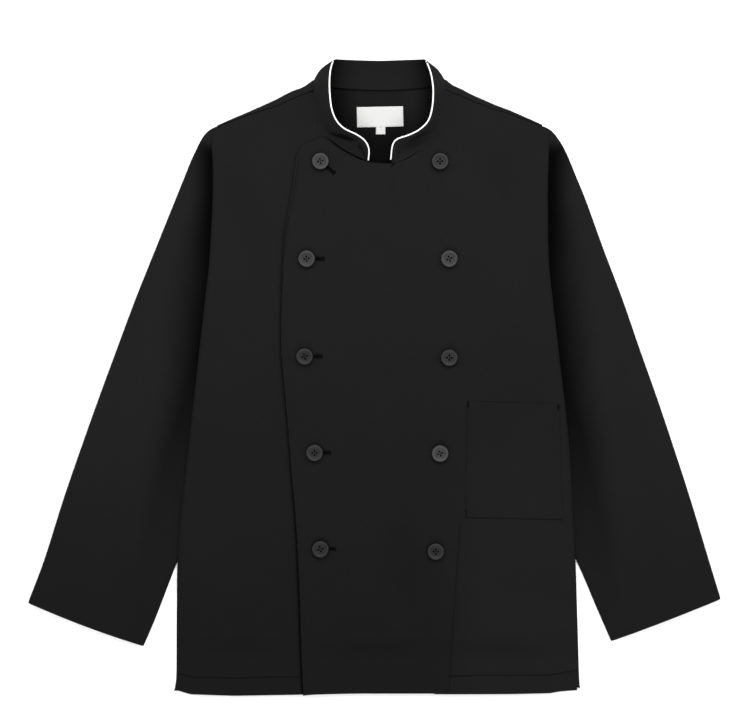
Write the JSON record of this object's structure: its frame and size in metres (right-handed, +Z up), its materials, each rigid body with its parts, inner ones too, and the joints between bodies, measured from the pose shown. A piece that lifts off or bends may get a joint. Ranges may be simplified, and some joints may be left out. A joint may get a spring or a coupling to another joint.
{
  "type": "chef jacket",
  "caption": "Double-breasted chef jacket laid flat with long sleeves, a piped stand collar, worked buttonholes and a patch pocket.",
  "frame": {"origin": "middle of the jacket's outline on the surface it lies on", "axes": "+X across the jacket towards the wearer's left sleeve, +Y towards the collar, +Z up out of the front"},
  "size_m": [0.79, 0.7241, 0.0277],
  "materials": {
    "black_twill": "black woven twill with a faint diagonal rib",
    "white_piping": "white corded piping",
    "label_satin": "white woven satin, blank",
    "dark_button": "dark grey satin with a turned rim",
    "black_thread": "black sewing thread"
  },
  "bodies": {
    "root": {"back": "black_twill", "front_right": "black_twill", "front_left": "black_twill", "sleeve_right": "black_twill", "sleeve_left": "black_twill", "collar_outer": "black_twill", "collar_inner": "black_twill", "collar_piping": "white_piping", "patch_pocket": "black_twill", "main_label": "label_satin", "size_tab": "label_satin", "button_01": "dark_button", "button_02": "dark_button", "button_03": "dark_button", "button_04": "dark_button", "button_05": "dark_button", "button_06": "dark_button", "button_07": "dark_button", "button_08": "dark_button", "button_09": "dark_button", "button_10": "dark_button", "shank_01": "black_thread", "shank_02": "black_thread", "shank_03": "black_thread", "shank_04": "black_thread", "shank_05": "black_thread", "shank_06": "black_thread", "shank_07": "black_thread", "shank_08": "black_thread", "shank_09": "black_thread", "shank_10": "black_thread"}
  },
  "joints": []
}
